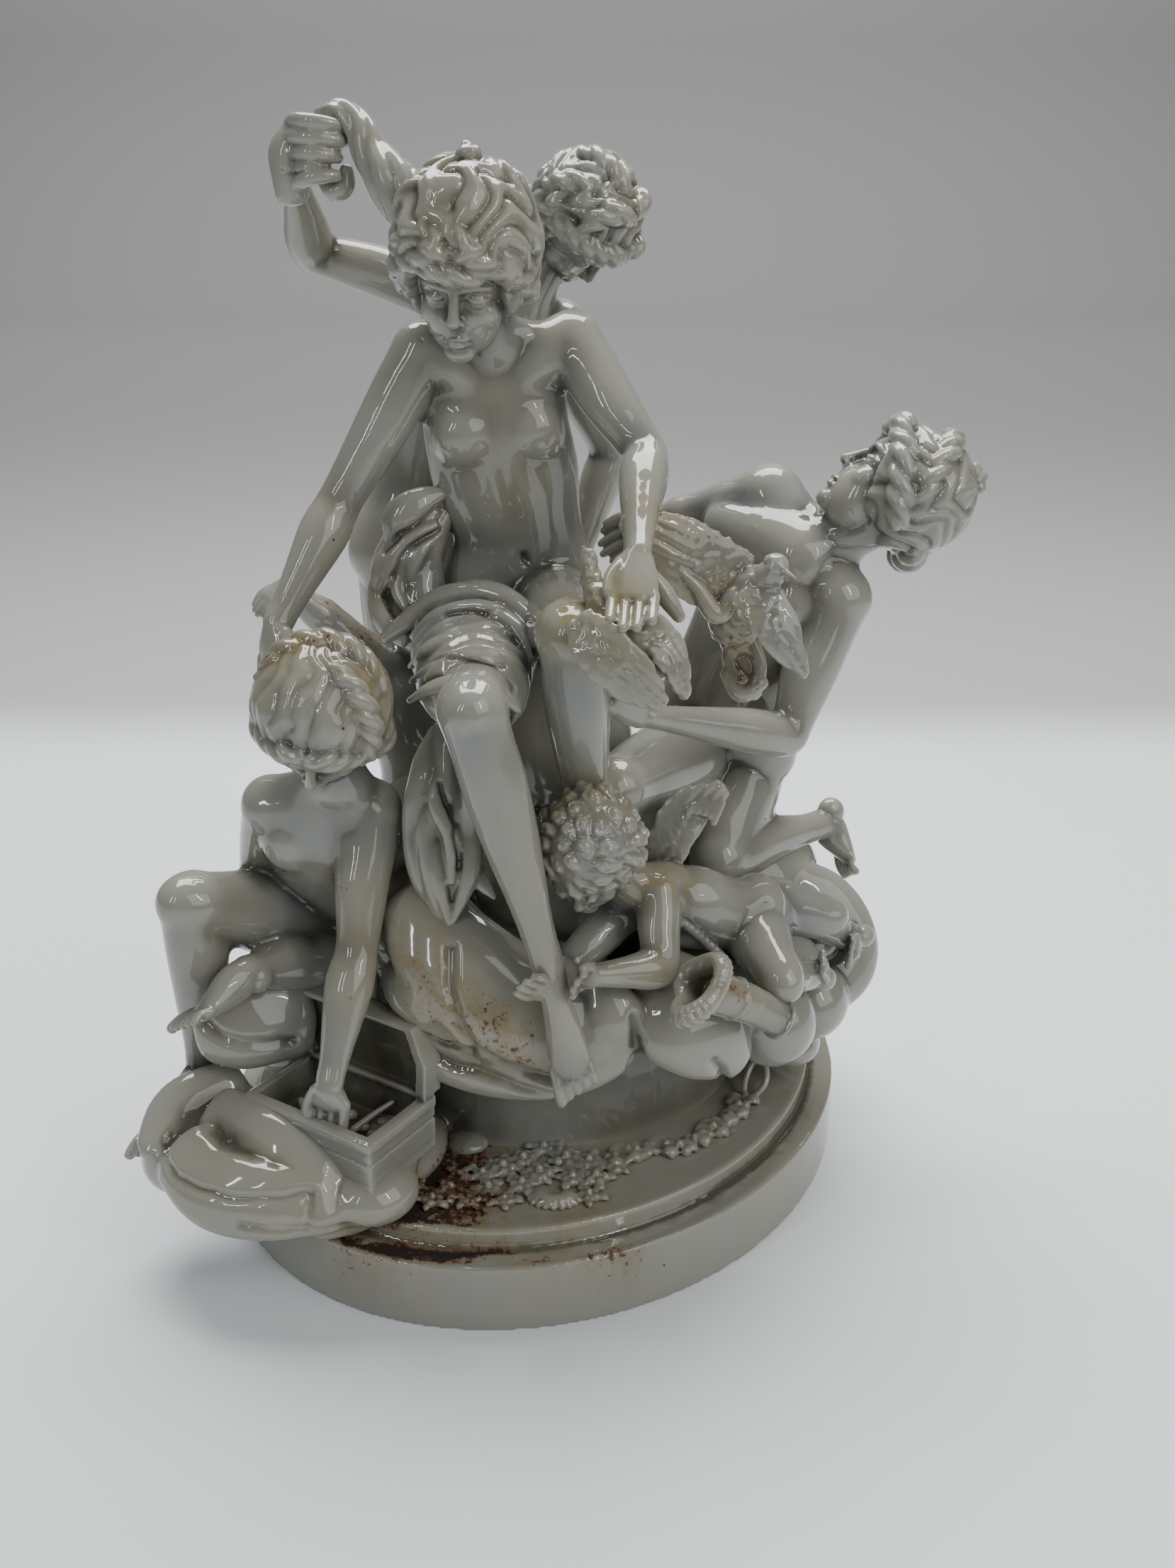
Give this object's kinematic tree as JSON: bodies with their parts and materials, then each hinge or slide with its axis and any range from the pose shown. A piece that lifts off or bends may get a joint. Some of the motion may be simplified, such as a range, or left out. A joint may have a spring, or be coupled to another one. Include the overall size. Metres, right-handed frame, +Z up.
{
  "type": "porcelain figure group",
  "caption": "White glazed porcelain figure group: seated woman, attendants, children, doves and an open casket on clouds over a stepped oval plinth",
  "frame": {"origin": "centre of the plinth's oval, on the underside it stands on", "axes": "+Z up through the figures; the front, with the casket and the seated woman's hanging foot, looks along -Y; +X to the viewer's right"},
  "size_m": [0.2542, 0.2116, 0.3287],
  "materials": {
    "glazed_porcelain": "glossy clear glaze over greyish white porcelain, rust-brown dirt in the hollows"
  },
  "bodies": {
    "root": {"porcelain_group": "glazed_porcelain"}
  },
  "joints": []
}
